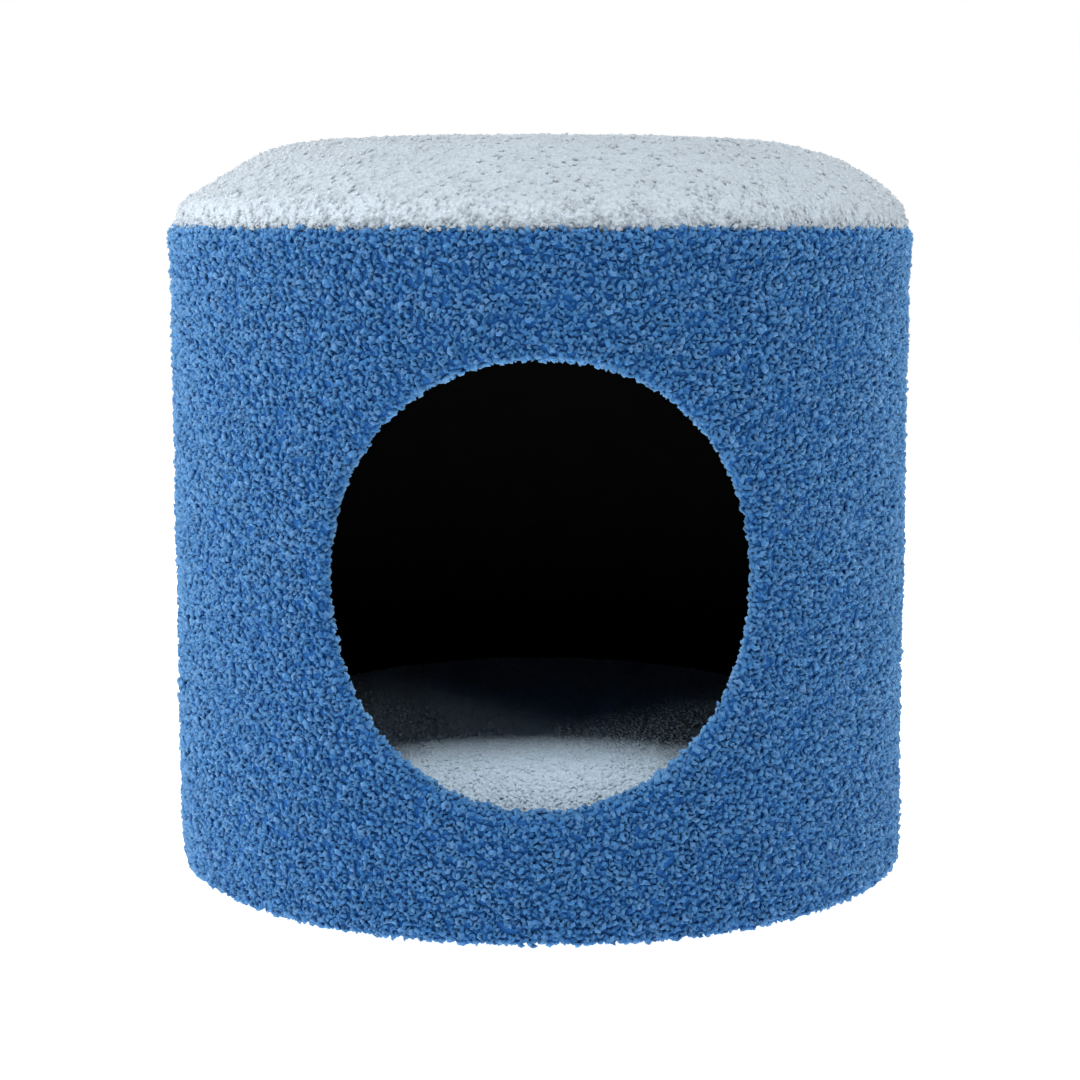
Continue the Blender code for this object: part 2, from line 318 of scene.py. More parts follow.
def wood_screw(name, length):
    """A screw that stands on its head, with its tip up."""
    tip = [(0.0, length), (0.0007, length - 0.0010), (0.0013, length - 0.0034)]
    head = [(0.0015, 0.0022), (0.0033, 0.0004), (0.0034, 0.0001), (0.0032, 0.0), (0.0, 0.0)]
    screw = spun(name, tip + head, 24)
    bpy.ops.object.select_all(action="DESELECT")
    bpy.ops.mesh.primitive_cube_add(size=1.0)
    recess = bpy.context.object
    bpy.ops.transform.resize(value=(0.0038, 0.0008, 0.0024))
    bpy.ops.object.duplicate()
    second = bpy.context.object
    bpy.ops.transform.rotate(value=pi / 2, orient_axis="Z", center_override=(0.0, 0.0, 0.0))
    for cross in (recess, second):
        slot = screw.modifiers.new("recess", "BOOLEAN")
        slot.operation = "DIFFERENCE"
        slot.object = cross
        pick(screw)
        bpy.ops.object.modifier_apply(modifier=slot.name)
        bpy.data.objects.remove(cross)
    pitch = 0.0011
    turns = int((length - 0.0055) / pitch)
    bpy.ops.object.select_all(action="DESELECT")
    bpy.ops.mesh.primitive_circle_add(
        vertices=3, radius=0.00042, location=(0.00158, 0.0, 0.0034), rotation=(pi / 2, 0.0, 0.0)
    )
    thread = bpy.context.object
    bpy.ops.object.transform_apply()
    winding = thread.modifiers.new("winding", "SCREW")
    winding.angle = 2 * pi * turns
    winding.screw_offset = pitch * turns
    winding.steps = winding.render_steps = 14 * turns
    bpy.ops.object.modifier_apply(modifier="winding")
    bpy.ops.object.mode_set(mode="EDIT")
    bpy.ops.mesh.select_mode(type="VERT")
    bpy.ops.mesh.select_all(action="DESELECT")
    bpy.ops.mesh.select_non_manifold()
    bpy.ops.mesh.edge_face_add()
    bpy.ops.mesh.select_all(action="SELECT")
    bpy.ops.mesh.fill_holes(sides=4)
    bpy.ops.mesh.normals_make_consistent(inside=False)
    bpy.ops.object.mode_set(mode="OBJECT")
    screw.select_set(True)
    bpy.context.view_layer.objects.active = screw
    bpy.ops.object.join()
    screw.data.materials.clear()
    screw.data.materials.append(zinc)
    return screw


long_length, short_length = 0.018, 0.013
long_screw = wood_screw("long_screw", long_length)
short_screw = wood_screw("short_screw", short_length)


def drive_in(pattern, node, body, turn):
    """Copy a screw to where the CAD node of a screw is: turn takes it from upright to its direction."""
    low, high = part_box(node)
    length = short_length if pattern is short_screw else long_length
    screw = copied(pattern, node.replace("screw", "wood_screw"))
    to_place = Matrix.Translation((low + high) / 2)
    screw.data.transform(to_place @ turn @ Matrix.Translation((0.0, 0.0, -length / 2)))
    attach(screw, body)
    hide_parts(node)


for number in range(1, 5):
    drive_in(short_screw, f"foot_screw_{number}", "drum", Matrix.Rotation(0.4 * number, 4, "Z"))
for number in range(1, 7):
    drive_in(long_screw, f"lid_screw_{number}", "lid", Matrix.Rotation(0.7 * number, 4, "Z"))
    facing = 2 * pi * (number - 1) / 6
    sideways = Matrix.Rotation(facing, 4, "Z") @ Matrix.Rotation(-pi / 2, 4, "Y")
    drive_in(long_screw, f"base_screw_{number}", "drum", sideways @ Matrix.Rotation(0.5 * number, 4, "Z"))
bpy.data.objects.remove(long_screw)
bpy.data.objects.remove(short_screw)


# Boards: the base, the lid's board and disc and the rim's hoop are pale plywood; the wall is
# rolled brown fibre board with a strip of the same over its joint.
def plywood(graph):
    rings = graph.noise(16.0, 4.0, 0.6, stretch=(1.0, 9.0, 9.0))
    pores = graph.noise(220.0, 2.0, 0.5, stretch=(1.0, 12.0, 12.0))
    figure = graph.blend(rings, rgb(0.40, 0.27, 0.15), rgb(0.60, 0.46, 0.30))
    return {
        "Base Color": graph.blend(pores * 0.35, figure, rgb(0.26, 0.16, 0.08)),
        "Roughness": 0.6 + pores * 0.2,
        "Normal": graph.bump(pores, 0.0002, 0.4),
    }


def pressed_board(graph):
    fibres = graph.noise(420.0, 4.0, 0.7)
    clouds = graph.noise(30.0, 2.0)
    brown = graph.blend(fibres, rgb(0.16, 0.09, 0.045), rgb(0.34, 0.21, 0.11))
    return {
        "Base Color": graph.blend(clouds * 0.5, brown, rgb(0.28, 0.18, 0.10)),
        "Roughness": 0.7 + fibres * 0.2,
        "Normal": graph.bump(fibres, 0.0003, 0.5),
    }


wear(finish("plywood", plywood), "base_board", "lid_board", "lid_locating_disc", "rim_hoop")
wear(finish("fibre_board", pressed_board), "wall_board", "wall_joint_strip")


# Wall foam: a thin cream sheet cut flat with the door's hole, rolled round the board and
# butted at the back.
DOOR = Vector((0.0, 0.0, 0.177))


def apply(piece, modifier):
    pick(piece)
    bpy.ops.object.modifier_apply(modifier=modifier.name)


def span(piece):
    """Lowest and highest corner of what is selected in edit mode."""
    places = [vertex.co for vertex in bmesh.from_edit_mesh(piece.data).verts if vertex.select]
    return [Vector(limit(place[way] for place in places) for way in range(3)) for limit in (min, max)]


def fit(piece, way, start, end):
    """Stretch and move what is selected along one axis, until it reaches from start to end."""
    low, high = span(piece)
    stretch, move = [1.0, 1.0, 1.0], [0.0, 0.0, 0.0]
    stretch[way] = (end - start) / (high[way] - low[way])
    move[way] = start - low[way]
    bpy.ops.transform.resize(value=stretch, center_override=low)
    bpy.ops.transform.translate(value=move)


def steady(piece):
    """Number the faces by their corners, so that each run of the script lays the same loops."""
    points = [vertex.co[:] for vertex in piece.data.vertices]
    faces = []
    for face in piece.data.polygons:
        corners = list(face.vertices)
        first = corners.index(min(corners))
        faces.append(corners[first:] + corners[:first])
    piece.data.clear_geometry()
    piece.data.from_pydata(points, [], sorted(faces))


def flat_wall(name, radius, bottom, top, columns, rows, hole):
    """A flat sheet as wide as the wall's girth, standing on edge, with an oval hole for the door."""
    girth = 2 * pi * radius
    column, row = girth / columns, (top - bottom) / rows
    bpy.ops.object.select_all(action="DESELECT")
    bpy.ops.mesh.primitive_grid_add(x_subdivisions=columns, y_subdivisions=rows, size=1.0)
    sheet = bpy.context.object
    sheet.name = sheet.data.name = name
    bpy.ops.transform.resize(value=(girth, top - bottom, 1.0))
    bpy.ops.transform.rotate(value=-pi / 2, orient_axis="X", center_override=(0.0, 0.0, 0.0))
    bpy.ops.transform.translate(value=(0.0, 0.0, (top + bottom) / 2))
    bpy.ops.object.transform_apply()
    bpy.ops.object.mode_set(mode="EDIT")
    reach = max(hole) + column
    choose(sheet, "faces", lambda at: abs(at.x) < reach and abs(at.z - DOOR.z) < reach)
    bpy.ops.mesh.delete(type="FACE")
    wide, tall = reach + column / 2, reach + row / 2
    choose(sheet, "verts", lambda at: abs(at.x) < wide and abs(at.z - DOOR.z) < tall)
    low, high = span(sheet)
    for share, rounding in ((0.25, 0.25), (0.5, 0.33), (0.75, 0.5), (1.0, 1.0)):
        bpy.ops.mesh.extrude_region_move()
        bpy.ops.transform.tosphere(value=rounding)
        for way, half in ((0, hole[0]), (2, hole[1])):
            side = ((high[way] - low[way]) / 2) * (1.0 - share) + half * share
            middle = ((high[way] + low[way]) / 2) * (1.0 - share) + DOOR[way] * share
            fit(sheet, way, middle - side, middle + side)
    bpy.ops.mesh.select_all(action="SELECT")
    bpy.ops.mesh.normals_make_consistent(inside=False)
    bpy.ops.object.mode_set(mode="OBJECT")
    steady(sheet)
    if sheet.data.polygons[0].normal.y > 0:
        sheet.data.flip_normals()
    return sheet


def roll_up(sheet, radius):
    """Bend the flat sheet into a full round with the door at the front."""
    roll = sheet.modifiers.new("roll", "SIMPLE_DEFORM")
    roll.deform_method = "BEND"
    roll.deform_axis = "Z"
    roll.angle = 2 * pi
    apply(sheet, roll)
    sheet.data.transform(Matrix.Translation((0.0, -radius, 0.0)))
    bpy.ops.object.mode_set(mode="EDIT")
    bpy.ops.mesh.select_all(action="SELECT")
    bpy.ops.mesh.remove_doubles(threshold=0.0001)
    bpy.ops.object.mode_set(mode="OBJECT")


def thicken(piece, thickness):
    """Give a sheet its thickness, inwards."""
    wall = piece.modifiers.new("thickness", "SOLIDIFY")
    wall.thickness = thickness
    wall.offset = -1.0
    apply(piece, wall)


def open_foam(graph):
    pores = graph.cells(900.0)
    ageing = graph.noise(25.0)
    return {
        "Base Color": graph.blend(ageing, rgb(0.82, 0.76, 0.60), rgb(0.74, 0.65, 0.45)),
        "Roughness": 0.9 + pores * 0.1,
        "Normal": graph.bump(pores, 0.0004, 0.7),
    }


foam = finish("open_cell_foam", open_foam)
foam_radius = 0.1951
wall_foam = flat_wall(
    "wall_foam_sheet", foam_radius, bottom=0.0074, top=0.3431, columns=108, rows=30, hole=(0.1134, 0.1129)
)
roll_up(wall_foam, foam_radius)
thicken(wall_foam, 0.0028)
wall_foam.data.materials.append(foam)
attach(wall_foam, "drum")
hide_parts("wall_foam")


# Wall cloth: knitted backing of the blue loop cloth. It is cut flat, turned in through the
# door, over the rim and under the base, rolled round the foam, and closed at the back.
wall_radius = 0.1970
cloth_bottom, cloth_top = 0.0076, 0.3432
hole_across, hole_up = 0.1154, 0.1150
wall_cloth = flat_wall(
    "wall_cloth", wall_radius, cloth_bottom, cloth_top, columns=160, rows=43, hole=(hole_across, hole_up)
)


def turn_in(steps):
    """Extrude the selected edge along short steps of (inwards, upwards)."""
    for inwards, upwards in steps:
        bpy.ops.mesh.extrude_region_move(TRANSFORM_OT_translate={"value": (0.0, inwards, upwards)})


def bend_round(radius, start, end, pieces=4):
    """Steps of (inwards, upwards) round a corner, with angles in degrees from straight out."""
    corner = []
    for piece in range(pieces):
        here = radians(start + (end - start) * piece / pieces)
        there = radians(start + (end - start) * (piece + 1) / pieces)
        corner.append((radius * (cos(here) - cos(there)), radius * (sin(there) - sin(here))))
    return corner


bpy.ops.object.mode_set(mode="EDIT")
choose(wall_cloth, "verts", lambda at: hypot(at.x / hole_across, (at.z - DOOR.z) / hole_up) < 1.004)
ring = hole_across
for inwards, outwards in bend_round(0.0035, 0, 90):
    bpy.ops.mesh.extrude_region_move(TRANSFORM_OT_translate={"value": (0.0, inwards, 0.0)})
    smaller = (ring - outwards) / ring
    bpy.ops.transform.resize(value=(smaller, 1.0, smaller), center_override=DOOR)
    ring -= outwards
for depth in (0.0040, 0.0037):
    turn_in([(depth, 0.0)])
    bpy.ops.transform.resize(value=(1.033, 1.0, 0.994), center_override=DOOR)
for widening in (1.04, 1.08, 1.08):
    turn_in([(0.0, 0.0)])
    bpy.ops.transform.resize(value=(widening, 1.0, widening), center_override=DOOR)
choose(wall_cloth, "verts", lambda at: at.z > cloth_top - 0.0001)
over_the_hoop = bend_round(0.003, 0, 90) + [(0.0037, 0.0)] * 3 + bend_round(0.002, 90, 180, 3)
turn_in(over_the_hoop + [(0.0, -0.011)] * 2)
choose(wall_cloth, "verts", lambda at: at.z < cloth_bottom + 0.0001)
turn_in(bend_round(0.003, 0, -90) + [(0.010, 0.0)] * 3)
bpy.ops.object.mode_set(mode="OBJECT")
steady(wall_cloth)


def group(piece, name):
    """Make a vertex group of what is selected in edit mode."""
    bpy.context.scene.tool_settings.vertex_group_weight = 1.0
    bpy.ops.object.vertex_group_assign_new()
    piece.vertex_groups[-1].name = name


def weigh(share):
    """Give what is selected in edit mode that share of the active vertex group."""
    bpy.context.scene.tool_settings.vertex_group_weight = share
    bpy.ops.object.vertex_group_assign()


def nudge(move, reach):
    """Move what is selected in edit mode, and what lies within reach of it less and less."""
    bpy.ops.transform.translate(
        value=move, use_proportional_edit=True, proportional_edit_falloff="SMOOTH", proportional_size=reach
    )


bpy.ops.object.mode_set(mode="EDIT")
choose(wall_cloth, "faces", lambda at: (at.y < 0.0105 or at.z < 0.0047) and (at.z < 0.3455 or at.y < 0.0028))
group(wall_cloth, "pile")
for distance, height in ((0.12, 0.92), (0.16, 0.85)):
    choose(wall_cloth, "verts", lambda at: abs(at.x) > distance and at.y < 0.0010)
    weigh(height)
choose(wall_cloth, "verts", lambda at: at.y > 0.0020 and hypot(at.x, at.z - DOOR.z) < 0.1250)
weigh(0.85)
choose(wall_cloth, "verts", lambda at: at.z > 0.3380)
group(wall_cloth, "rim")
nudge((0.0, -0.0012, 0.0), reach=0.02)
choose(wall_cloth, "verts", lambda at: at.z < 0.0080)
nudge((0.0, 0.0014, 0.0), reach=0.03)
bpy.ops.object.mode_set(mode="OBJECT")
roll_up(wall_cloth, wall_radius)
bpy.ops.object.mode_set(mode="EDIT")
choose(wall_cloth, "verts", lambda at: at.x > 0.08 and at.y < 0.03 and at.z < 0.02)
nudge((0.0014, -0.0008, 0.0), reach=0.03)
bpy.ops.object.mode_set(mode="OBJECT")


def ripple(piece, size, strength, direction="NORMAL", group=""):
    """Push the surface in and out a little, in soft lumps of that size."""
    clouds = bpy.data.textures.new("lumps", "CLOUDS")
    clouds.noise_scale = size
    lumps = piece.modifiers.new("lumps", "DISPLACE")
    lumps.texture = clouds
    lumps.texture_coords = "LOCAL"
    lumps.direction = direction
    lumps.strength = strength
    lumps.vertex_group = group
    apply(piece, lumps)


ripple(wall_cloth, size=0.045, strength=0.0016)
ripple(wall_cloth, size=0.030, strength=0.0030, direction="Z", group="rim")


# Loops of the wall's cloth: short curls of spun yarn that stand on the knitted backing, packed
# until they touch. Six bends of yarn are modelled once and laid at random headings.
def coiled(name, sides, strand, ring, sweep, rise, steps):
    """Wind a strand round the upright axis and close its ends."""
    bpy.ops.object.select_all(action="DESELECT")
    bpy.ops.mesh.primitive_circle_add(
        vertices=sides, radius=strand, location=(ring, 0.0, 0.0), rotation=(pi / 2, 0.0, 0.0)
    )
    coil = bpy.context.object
    coil.name = coil.data.name = name
    bpy.ops.object.transform_apply()
    winding = coil.modifiers.new("winding", "SCREW")
    winding.angle = sweep
    winding.screw_offset = rise
    winding.steps = winding.render_steps = steps
    bpy.ops.object.modifier_apply(modifier="winding")
    bpy.ops.object.mode_set(mode="EDIT")
    bpy.ops.mesh.select_mode(type="VERT")
    bpy.ops.mesh.select_all(action="SELECT")
    bpy.ops.mesh.fill_holes(sides=sides)
    bpy.ops.mesh.select_all(action="SELECT")
    bpy.ops.mesh.normals_make_consistent(inside=False)
    bpy.ops.object.mode_set(mode="OBJECT")
    bpy.ops.object.shade_smooth()
    return coil


def bend_yarn(name, bends):
    """Model each bend of yarn once: radii, rise and height in metres, sweep and lean in degrees."""
    store = bpy.data.collections.new(name)
    bpy.context.scene.collection.children.link(store)
    for number, (sides, ring, strand, sweep, rise, steps, lean, height) in enumerate(bends, 1):
        bend = coiled(f"{name}_{number}", sides, strand, ring, radians(sweep), rise, steps)
        bpy.ops.transform.rotate(value=radians(lean), orient_axis="X", center_override=(0.0, 0.0, 0.0))
        bpy.ops.transform.translate(value=(0.0, 0.0, height))
        bpy.ops.object.transform_apply()
        lift = bend.data.attributes.new("lift", "FLOAT", "POINT")
        lift.data.foreach_set("value", [vertex.co.z / (2 * height) for vertex in bend.data.vertices])
        store.objects.link(bend)
        bpy.context.scene.collection.objects.unlink(bend)
    return store


# sides, radius of the bend, radius of the yarn, sweep, rise, steps, lean, height
curls = bend_yarn("curl", [
    (3, 0.00120, 0.00150, 220, 0.0005, 4, 20, 0.0015),
    (3, 0.00130, 0.00140, 260, 0.0006, 4, 40, 0.0016),
    (3, 0.00165, 0.00135, 180, 0.0004, 4, 60, 0.0016),
    (3, 0.00145, 0.00130, 310, 0.0006, 5, 20, 0.0016),
    (3, 0.00080, 0.00165, 190, 0.0003, 3, 50, 0.0015),
    (3, 0.00095, 0.00155, 230, 0.0005, 4, 10, 0.0014),
])


def lay_loops(ground, name, parts, spacing, size, seed, material, body, sink, store=curls):
    """Cover a cloth's pile area with curls. The result is split by direction round the house."""
    tilt = 0.45
    clumps_per_metre = 170.0
    dip_between_clumps = 0.0005
    dip_without_pile = 0.0025
    laid = []
    for part in range(parts):
        piece = copied(ground, f"{name}_{part + 1}")
        tree = bpy.data.node_groups.new("laying", "GeometryNodeTree")
        tree.interface.new_socket("Cloth", in_out="INPUT", socket_type="NodeSocketGeometry")
        tree.interface.new_socket("Loops", in_out="OUTPUT", socket_type="NodeSocketGeometry")
        graph = Graph(tree)

        def chance(low, high, salt, kind="FLOAT"):
            place = {"FLOAT": (2, 3, 1), "INT": (4, 5, 2)}[kind]
            numbers = {place[0]: low, place[1]: high, "Seed": seed + salt}
            return graph.node("FunctionNodeRandomValue", {"data_type": kind}, numbers, place[2])

        pile = graph.node("GeometryNodeInputNamedAttribute", {"data_type": "FLOAT"}, {"Name": "pile"})
        points = graph.node(
            "GeometryNodeDistributePointsOnFaces",
            {"distribute_method": "POISSON"},
            {
                "Mesh": graph.node("NodeGroupInput"),
                "Distance Min": spacing,
                "Density Max": 4.0 / spacing**2,
                "Density Factor": pile * 2.0,
                "Seed": seed,
            },
        )
        place = graph.node("GeometryNodeInputPosition")
        east = graph.node("ShaderNodeSeparateXYZ", None, {"Vector": place}, "X")
        heading = east.maths("ARCTAN2", east.out("Y"), east) * (parts / (2 * pi)) + parts / 2
        outside = (heading < part) + (heading > part + 1)
        kept = graph.node("GeometryNodeDeleteGeometry", None, {"Geometry": points, "Selection": outside})
        turn = {"X": chance(-tilt, tilt, 1), "Z": chance(0.0, 2 * pi, 2)}
        turned = graph.node(
            "FunctionNodeRotateRotation",
            {"rotation_space": "LOCAL"},
            {"Rotation": points.out("Rotation"), "Rotate By": graph.node("ShaderNodeCombineXYZ", None, turn)},
        )
        bends = graph.node(
            "GeometryNodeCollectionInfo",
            None,
            {"Collection": store, "Separate Children": True, "Reset Children": True},
        )
        loops = graph.node(
            "GeometryNodeInstanceOnPoints",
            None,
            {
                "Points": kept,
                "Instance": bends,
                "Pick Instance": True,
                "Instance Index": chance(0, len(store.objects) - 1, 3, "INT"),
                "Rotation": turned,
                "Scale": chance(0.8 * size, 1.25 * size, 4),
            },
        )
        clump = graph.node(
            "ShaderNodeTexVoronoi",
            {"feature": "DISTANCE_TO_EDGE"},
            {"Scale": clumps_per_metre, "Randomness": 1.0},
        )
        clump = (clump * 5.0).maths("MINIMUM", clump * 5.0, 1.0)
        height = (clump - 1.0) * dip_between_clumps - sink - (1.0 - pile) * dip_without_pile
        shift = graph.node("ShaderNodeCombineXYZ", None, {"Z": height})
        loops = graph.node("GeometryNodeTranslateInstances", None, {"Instances": loops, "Translation": shift})
        for kind, carried, value in (
            ("FLOAT", "clump", clump),
            ("FLOAT", "tone", chance(0.0, 1.0, 5)),
            ("FLOAT_VECTOR", "ground", points.out("Normal")),
        ):
            loops = graph.node(
                "GeometryNodeStoreNamedAttribute",
                {"data_type": kind, "domain": "INSTANCE"},
                {"Geometry": loops, "Name": carried, "Value": value},
            )
        result = tree.nodes.new("NodeGroupOutput")
        feed(result.inputs[0], graph.node("GeometryNodeRealizeInstances", None, {"Geometry": loops}))
        laying = piece.modifiers.new("laying", "NODES")
        laying.node_group = tree
        apply(piece, laying)
        piece.vertex_groups.clear()
        piece.data.materials.clear()
        piece.data.materials.append(material)
        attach(piece, body)
        laid.append(piece)
    return laid


def yarn(shade_colour, middle, highlight_colour, patch=0.12, haze=0.3):
    """Looped yarn: painted shade deepens its colour low on each curl and towards the edges of clumps, and a
    painted highlight makes it paler at the tops. Its fuzz lets light round each curl, so the shading leans by
    that haze towards the ground's."""

    def draw(graph):
        curl = graph.node("ShaderNodeNewGeometry", output="Normal")
        ground = graph.attribute("ground", "Vector")
        facing = graph.node("ShaderNodeMix", {"data_type": "VECTOR"}, {0: haze, 4: curl, 5: ground}, 1)
        facing = graph.node("ShaderNodeVectorMath", {"operation": "NORMALIZE"}, {0: facing})
        lift = graph.attribute("lift")
        tone = graph.attribute("tone")
        clump = graph.attribute("clump")
        fibres = graph.noise(2600.0, 2.0)
        clouds = graph.noise(22.0, 2.0)
        # Painted shade and highlight: share darkens the colour low on each curl (lift) and near clump edges
        # (clump), and pales it at the curl tops; tone, fibres and clouds add random variation of the yarn
        # itself.
        share = lift * 0.65 + tone * 0.20 + clump * 0.40 + fibres * 0.3 + clouds * patch - (0.45 + patch / 2)
        low = graph.blend(share.maths("MULTIPLY", share, 2.0), rgb(*shade_colour), rgb(*middle))
        return {
            "Base Color": graph.blend(share * 2.0 - 1.0, low, rgb(*highlight_colour)),
            "Roughness": 0.80 + fibres * 0.2,
            "Normal": graph.bump(fibres, 0.00025, 0.8, Normal=facing),
        }

    return draw


def backing(red, green, blue):
    """Knitted ground of a loop cloth, with painted shade making it a little deeper in colour in the dips
    between its stitches.
    """

    def draw(graph):
        lumps = graph.cells(420.0)
        stitches = graph.noise(1500.0, 2.0)
        # Painted shade: the colour deepens towards the cell edges, where the bump sinks between the stitches.
        shade_colour = rgb(red * 0.8, green * 0.85, blue * 0.9)
        return {
            "Base Color": graph.blend(lumps, rgb(red, green, blue), shade_colour),
            "Roughness": 0.9 + stitches * 0.1,
            "Normal": graph.bump(lumps * -0.8 + stitches * 0.2, 0.0015, 1.0),
        }

    return draw


# Blue yarn: the first colour is painted shade low between the loops, the last a painted highlight at the curl
# tops.
blue_yarn = finish(
    "blue_yarn",
    yarn((0.008, 0.120, 0.385), (0.042, 0.200, 0.465), (0.105, 0.255, 0.500)),
    diffuse_roughness=1.0,
    sheen_weight=0.60,
    sheen_roughness=0.5,
    sheen_tint=(0.40, 0.70, 1.0, 1.0),
    specular_ior_level=0.25,
)
# The backing's blue is close to the yarn's painted shade colour, darker than the yarn's middle blue: painted
# shade at the bottom of the pile.
blue_backing = finish("blue_backing", backing(0.006, 0.105, 0.350))
wall_loops = lay_loops(
    wall_cloth,
    "wall_loops",
    parts=8,
    spacing=0.0024,
    size=0.95,
    seed=11,
    material=blue_yarn,
    body="drum",
    sink=0.0003,
)
thicken(wall_cloth, 0.0009)
wall_cloth.data.materials.append(blue_backing)
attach(wall_cloth, "drum")
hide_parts("wall_cover")


# Felt: black needle felt lines the wall, the floor and the lid's underside, and a thin black
# cloth closes the base. All are cut flat and glued or stapled down.
def needle_felt(graph):
    fibres = graph.noise(1400.0, 4.0, 0.7)
    mat = graph.noise(60.0, 3.0)
    dark, light = rgb(0.005, 0.005, 0.006), rgb(0.020, 0.020, 0.022)
    return {
        "Base Color": graph.blend(fibres * 0.6 + mat * 0.4, dark, light),
        "Roughness": 0.9 + fibres * 0.1,
        "Normal": graph.bump(fibres, 0.0005, 0.8),
    }


felt = finish("black_felt", needle_felt, specular_ior_level=0.1)
felt_radius = 0.1856
wall_felt = flat_wall(
    "wall_felt", felt_radius, bottom=0.0198, top=0.3207, columns=108, rows=28, hole=(0.1168, 0.1155)
)
roll_up(wall_felt, felt_radius)
ripple(wall_felt, size=0.05, strength=0.0004)
thicken(wall_felt, 0.0012)
wall_felt.data.materials.append(felt)
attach(wall_felt, "drum")
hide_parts("wall_lining")


def felt_disc(name, radius, bottom, thickness, node, body):
    """A round of felt with a soft cut edge."""
    top = bottom + thickness
    rounding = thickness * 0.35
    rings = [radius * share for share in (0.2, 0.4, 0.6, 0.8, 0.95)]
    outline = [(0.0, top)] + [(ring, top) for ring in rings]
    outline += [(radius - rounding, top), (radius, top - rounding), (radius, bottom + rounding)]
    outline += [(radius - rounding, bottom)] + [(ring, bottom) for ring in reversed(rings)] + [(0.0, bottom)]
    disc = spun(name, outline)
    disc.data.materials.append(felt)
    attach(disc, body)
    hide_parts(node)


# name, radius, bottom, thickness, CAD node, body
felt_disc("floor_felt", 0.1838, 0.0197, 0.0014, "floor_lining", "drum")
felt_disc("base_cloth", 0.1645, 0.0058, 0.0011, "base_dust_cover", "drum")
felt_disc("lid_felt", 0.1783, 0.3361, 0.0014, "lid_lining", "lid")


# Cushion: two rounds of pale blue looped fleece sewn together round a soft filling. It lies
# loose on the floor and its top is crowned.
def crown(radius, base, top, squareness, steps=18):
    """Outline of a padded top, from its middle out and down to its side."""
    points = [(0.0, top)]
    for step in range(steps - 1, -1, -1):
        angle = pi / 2 * step / steps
        points.append((radius * cos(angle) ** squareness, base + (top - base) * sin(angle)))
    return points


def swell(piece, voxel, pressure, limit, held):
    """Blow the closed cloth of a pad up a little, held where it is fixed, by at most that limit."""
    even = piece.modifiers.new("even", "REMESH")
    even.mode = "VOXEL"
    even.voxel_size = voxel
    apply(piece, even)
    steady(piece)
    start = [vertex.co.copy() for vertex in piece.data.vertices]
    pins = piece.vertex_groups.new(name="held")
    pins.add([vertex.index for vertex in piece.data.vertices if held(vertex.co)], 1.0, "REPLACE")
    cloth = piece.modifiers.new("cloth", "CLOTH")
    cloth.settings.vertex_group_mass = "held"
    cloth.settings.use_pressure = True
    cloth.settings.uniform_pressure_force = pressure
    cloth.settings.effector_weights.gravity = 0.0
    cloth.collision_settings.use_collision = False
    frames = 20
    for moment in range(1, frames + 1):
        bpy.context.scene.frame_set(moment)
    apply(piece, cloth)
    piece.vertex_groups.clear()
    for vertex, before in zip(piece.data.vertices, start):
        move = vertex.co - before
        if move.length > limit:
            vertex.co = before + move * (limit / move.length)
    bpy.context.scene.frame_set(1)


cushion_bottom = 0.0216
cushion_top = crown(radius=0.1745, base=0.0464, top=0.0885, squareness=0.4)
underside = [
    (0.1735, 0.0400), (0.1700, 0.0320), (0.1640, 0.0260), (0.1560, 0.0225), (0.1480, cushion_bottom),
    (0.0, cushion_bottom),
]
cushion = spun("cushion", cushion_top + underside)
swell(cushion, voxel=0.0045, pressure=4.0, limit=0.0022, held=lambda at: at.z < cushion_bottom + 0.0006)
cushion.data.shade_smooth()
bpy.ops.object.mode_set(mode="EDIT")
choose(cushion, "faces", lambda at: at.z > 0.0440)
group(cushion, "pile")
bpy.ops.object.mode_set(mode="OBJECT")


def pale_finishes(name, shade_colour, middle, highlight_colour):
    """Finishes for the yarn and the backing of a pale loop cloth."""
    loops = finish(
        f"{name}_yarn",
        yarn(shade_colour, middle, highlight_colour, 0.05),
        diffuse_roughness=1.0,
        sheen_weight=0.10,
        sheen_roughness=0.5,
        specular_ior_level=0.25,
    )
    return loops, finish(f"{name}_backing", backing(*middle))


# Fleece yarn: the first colour is a slight painted shade low on the tufts, the last a slight painted highlight
# at their tops.
fleece_yarn, fleece_backing = pale_finishes(
    "fleece", (0.495, 0.606, 0.698), (0.505, 0.616, 0.708), (0.515, 0.626, 0.718)
)
tufts = bend_yarn("tuft", [
    (3, 0.00070, 0.00090, 170, 0.0003, 2, 40, 0.0006),
    (3, 0.00090, 0.00080, 200, 0.0002, 3, 20, 0.0005),
    (3, 0.00050, 0.00100, 150, 0.0003, 2, 60, 0.0007),
])
lay_loops(
    cushion,
    "cushion_loops",
    parts=3,
    spacing=0.0019,
    size=1.0,
    seed=23,
    material=fleece_yarn,
    body="cushion",
    sink=0.0004,
    store=tufts,
)
cushion.data.materials.append(fleece_backing)
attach(cushion, "cushion")
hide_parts("cushion_top_cover", "cushion_bottom_cover", "cushion_filling")


# Lid: pale blue looped cloth pulled over a domed foam pad on a board and stapled under it.
# Its outline is given as (radius, height above the wall's top), from the middle outwards.
LID = 0.3468
lid_radius = 0.1970
pad = [
    (0.0, 0.0461), (0.0300, 0.0460), (0.0600, 0.0458), (0.0896, 0.0453), (0.1070, 0.0449), (0.1216, 0.0442),
    (0.1330, 0.0430), (0.1420, 0.0415), (0.1490, 0.0398), (0.1550, 0.0379), (0.1600, 0.0359), (0.1665, 0.0325),
    (0.1733, 0.0285), (0.1785, 0.0253), (0.1833, 0.0222), (0.1875, 0.0192), (0.1910, 0.0165), (0.1938, 0.0138),
    (0.1956, 0.0113), (0.1966, 0.0080), (lid_radius, 0.0030),
]
side = [(lid_radius, -0.0006), (0.1950, -0.0012), (0.1900, -0.0010), (0.1880, 0.0), (0.0, 0.0)]
lid_cloth = spun("lid_cloth", [(out, LID + up) for out, up in pad + side])
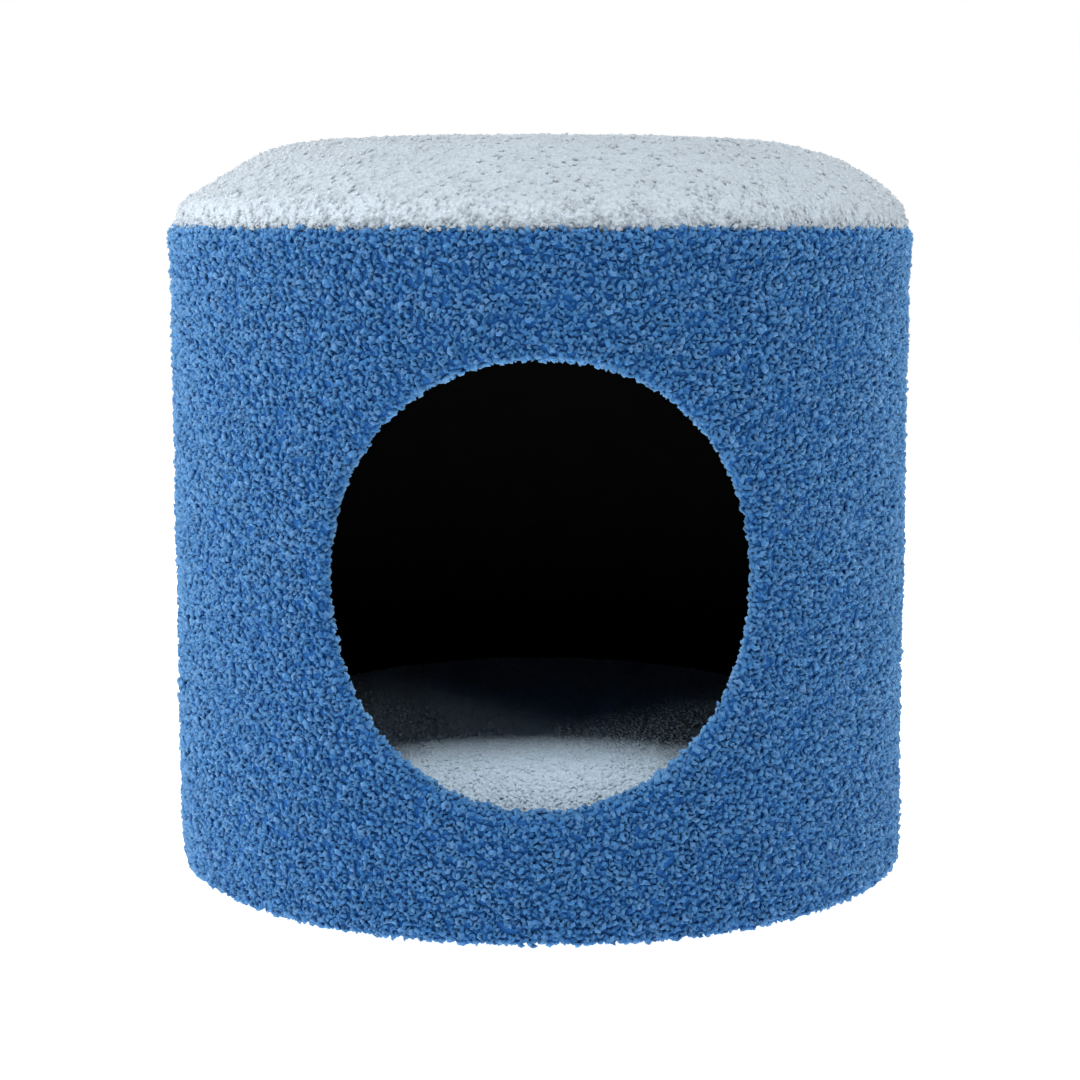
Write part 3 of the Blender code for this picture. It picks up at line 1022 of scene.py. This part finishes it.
swell(lid_cloth, voxel=0.0045, pressure=4.0, limit=0.0010, held=lambda at: at.z < LID + 0.002)
ripple(lid_cloth, size=0.05, strength=0.0015)
bpy.ops.object.mode_set(mode="EDIT")
choose(lid_cloth, "verts", lambda at: LID + 0.022 < at.z < LID + 0.036)
nudge((0.0028, 0.0, 0.0), reach=0.014)
bpy.ops.object.mode_set(mode="OBJECT")
lid_foam = copied(lid_cloth, "lid_foam_pad")
lid_cloth.data.shade_smooth()
bpy.ops.object.mode_set(mode="EDIT")
choose(lid_cloth, "faces", lambda at: at.z < LID + 0.0020 and hypot(at.x, at.y) < 0.1800)
bpy.ops.mesh.delete(type="FACE")
choose(lid_cloth, "faces", lambda at: at.z > LID + 0.0004 or hypot(at.x, at.y) > 0.1900)
group(lid_cloth, "pile")
choose(lid_cloth, "verts", lambda at: at.z > LID + 0.0035)
weigh(0.5)
bpy.ops.object.mode_set(mode="OBJECT")
# Pale yarn: the first colour is a slight painted shade low on the curls, the last a slight painted highlight
# at their tops.
pale_yarn, pale_backing = pale_finishes(
    "pale", (0.500, 0.560, 0.615), (0.510, 0.570, 0.620), (0.520, 0.575, 0.625)
)
lid_loops = lay_loops(
    lid_cloth,
    "lid_loops",
    parts=4,
    spacing=0.0025,
    size=0.88,
    seed=37,
    material=pale_yarn,
    body="lid",
    sink=0.0010,
)
thicken(lid_cloth, 0.0012)
lid_cloth.data.materials.append(pale_backing)
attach(lid_cloth, "lid")
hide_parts("lid_cover")


# Lid pad: foam cut to the dome. It fills the lid's cloth down to the board.
top_of_board = 0.3594
pick(lid_foam)
bpy.ops.object.mode_set(mode="EDIT")
bpy.ops.mesh.select_all(action="SELECT")
bpy.ops.transform.shrink_fatten(value=-0.0016)
bpy.ops.mesh.bisect(
    plane_co=(0.0, 0.0, top_of_board), plane_no=(0.0, 0.0, 1.0), use_fill=True, clear_inner=True
)
bpy.ops.object.mode_set(mode="OBJECT")
lid_foam.data.materials.append(foam)
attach(lid_foam, "lid")
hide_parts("lid_foam")


# The bends of yarn have been laid, so their patterns go.
for store in (curls, tufts):
    for bend in list(store.objects):
        bpy.data.objects.remove(bend)
    bpy.data.collections.remove(store)
